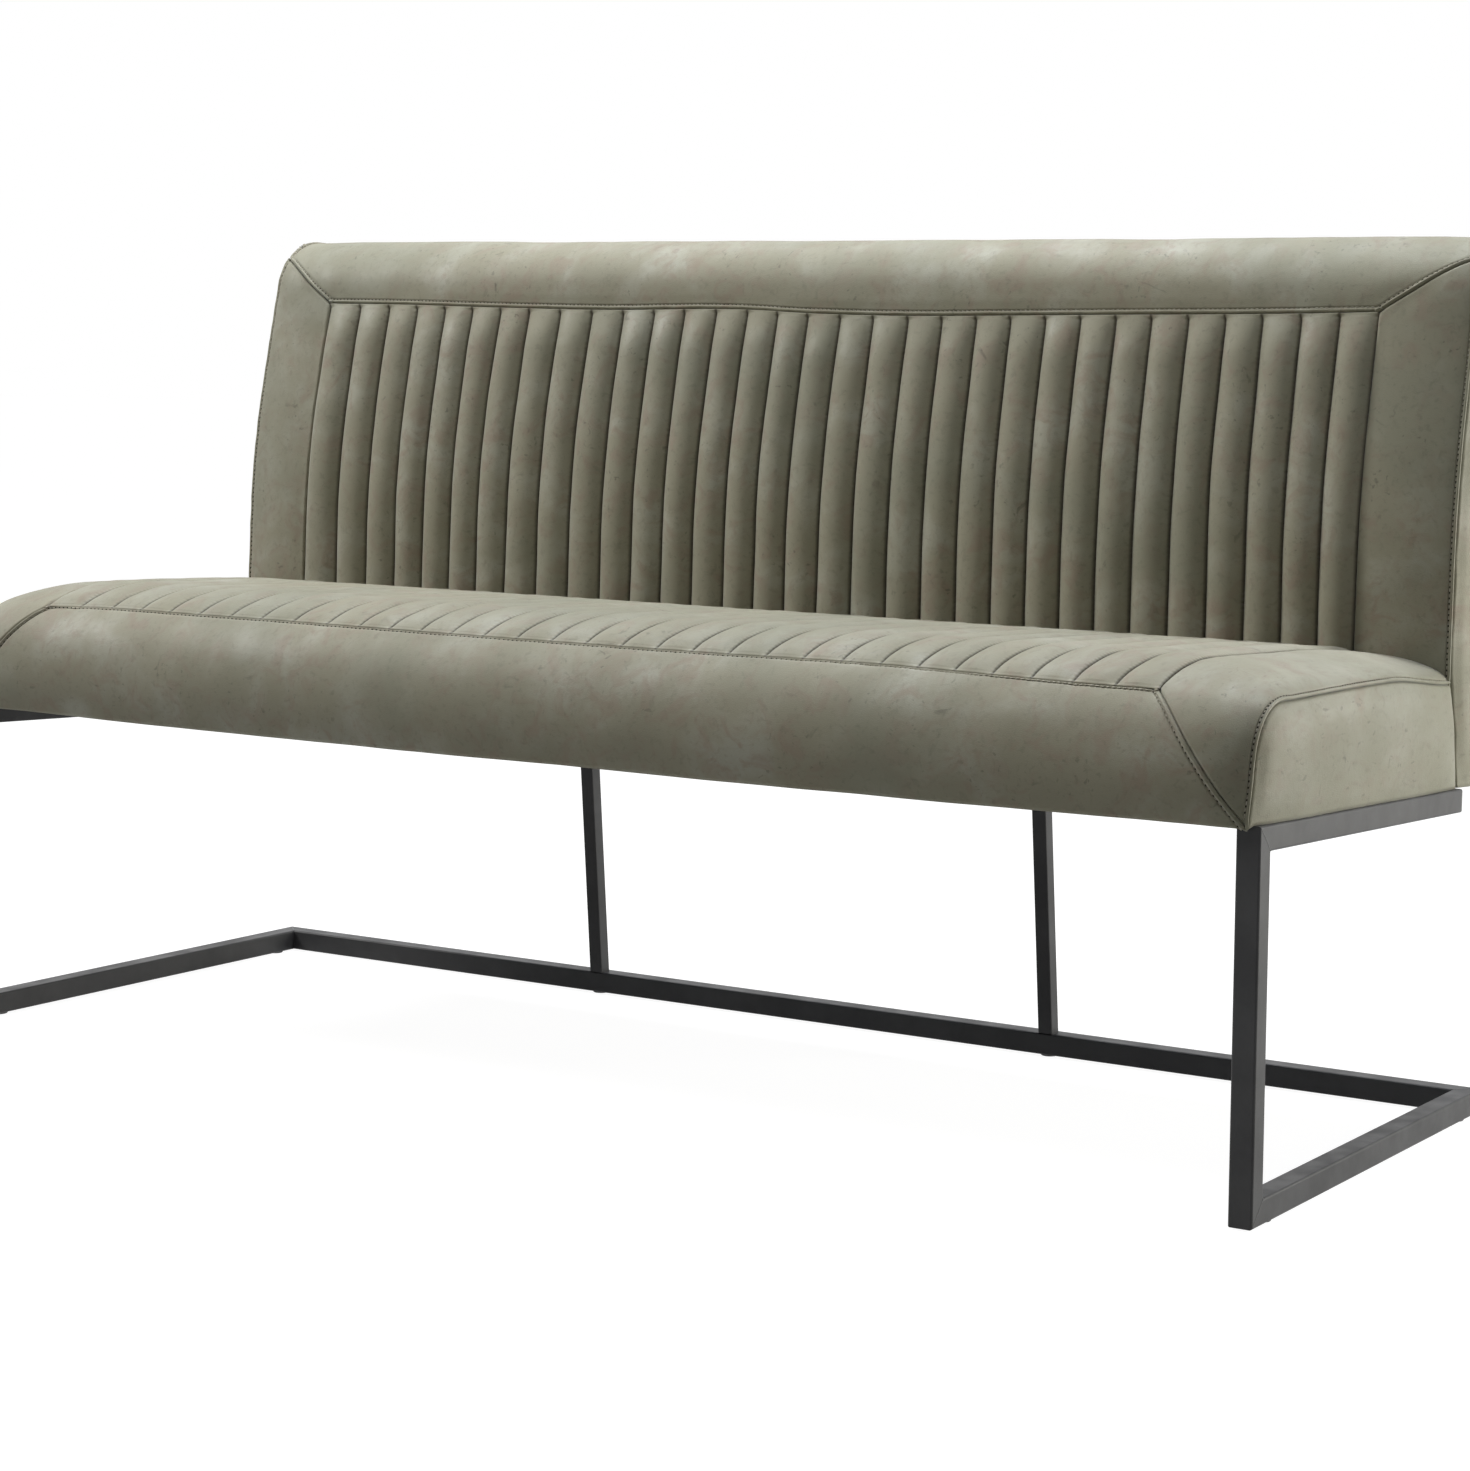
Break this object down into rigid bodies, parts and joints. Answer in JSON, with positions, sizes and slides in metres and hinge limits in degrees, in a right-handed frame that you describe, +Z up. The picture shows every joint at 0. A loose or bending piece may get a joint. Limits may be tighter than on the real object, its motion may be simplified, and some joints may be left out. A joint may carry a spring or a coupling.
{
  "type": "dining sofa",
  "caption": "Long dining sofa with a channelled leather seat and back, plain mitred borders, on an open frame of square steel tube.",
  "frame": {"origin": "middle of the footprint, on the floor under the glides", "axes": "+X along the sofa to its right end as one faces it, +Y from the front of the seat to the back, +Z up"},
  "size_m": [1.668, 0.6848, 0.9461],
  "materials": {
    "steel": "satin dark grey coating on square steel tube",
    "zinc": "zinc-plated fasteners",
    "plastic": "matt black moulded plastic",
    "timber": "planed beech and plywood",
    "webbing": "woven elastic webbing",
    "foam": "open-cell upholstery foam",
    "dust_cloth": "black non-woven cloth",
    "leather": "matt waxed leather in an olive taupe, slightly mottled"
  },
  "bodies": {
    "root": {"left_front_leg": "steel", "right_front_leg": "steel", "left_base_rail": "steel", "right_base_rail": "steel", "rear_base_rail": "steel", "left_seat_rail": "steel", "right_seat_rail": "steel", "left_rear_strut": "steel", "right_rear_strut": "steel", "left_strut_plate": "steel", "right_strut_plate": "steel", "seat_rail_lugs": "steel", "rail_end_caps": "plastic", "floor_glides": "plastic", "seat_bolts": "zinc", "seat_washers": "zinc", "tee_nuts": "zinc", "plate_screws": "zinc", "back_bolts": "zinc", "back_tee_nuts": "zinc", "seat_front_board": "timber", "seat_rear_board": "timber", "seat_left_board": "timber", "seat_right_board": "timber", "seat_cross_boards": "timber", "seat_webs_front_to_back": "webbing", "seat_webs_side_to_side": "webbing", "seat_foam": "foam", "seat_dust_cover": "dust_cloth", "seat_channel_panel": "leather", "seat_front_band": "leather", "seat_left_border": "leather", "seat_right_border": "leather", "seat_left_side_panel": "leather", "seat_right_side_panel": "leather", "back_left_post": "timber", "back_right_post": "timber", "back_inner_posts": "timber", "back_bottom_board": "timber", "back_lower_rail": "timber", "back_top_rail": "timber", "back_curved_panel": "timber", "back_foam": "foam", "back_rear_cover": "leather", "back_channel_panel": "leather", "back_top_border": "leather", "back_left_border": "leather", "back_right_border": "leather", "back_left_side_panel": "leather", "back_right_side_panel": "leather"}
  },
  "joints": []
}
